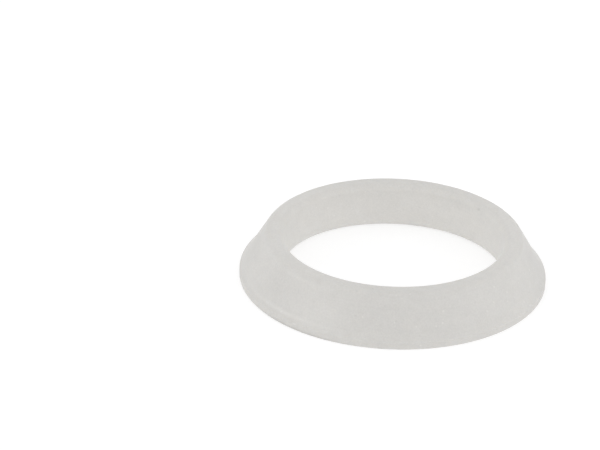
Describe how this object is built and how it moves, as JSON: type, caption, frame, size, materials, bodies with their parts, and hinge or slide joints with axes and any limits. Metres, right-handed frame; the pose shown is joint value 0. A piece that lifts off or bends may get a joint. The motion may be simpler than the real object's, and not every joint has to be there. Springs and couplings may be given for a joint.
{
  "type": "slip joint washer",
  "caption": "Bevelled ring washer in milky polyethylene: round bore, cone-shaped collar that flares to a broad flat base, for sealing a tubular waste trap joint.",
  "frame": {"origin": "centre of the flat base, on the bore's axis", "axes": "+Z along the bore's axis, from the flat base to the narrow land on the collar; the part is round about +Z, so +X and +Y are any two directions in the base"},
  "size_m": [0.0534, 0.0534, 0.0083],
  "materials": {
    "milky_polyethylene": "satin natural polyethylene, milky white and slightly translucent"
  },
  "bodies": {
    "root": {"slip_joint_washer": "milky_polyethylene"}
  },
  "joints": []
}
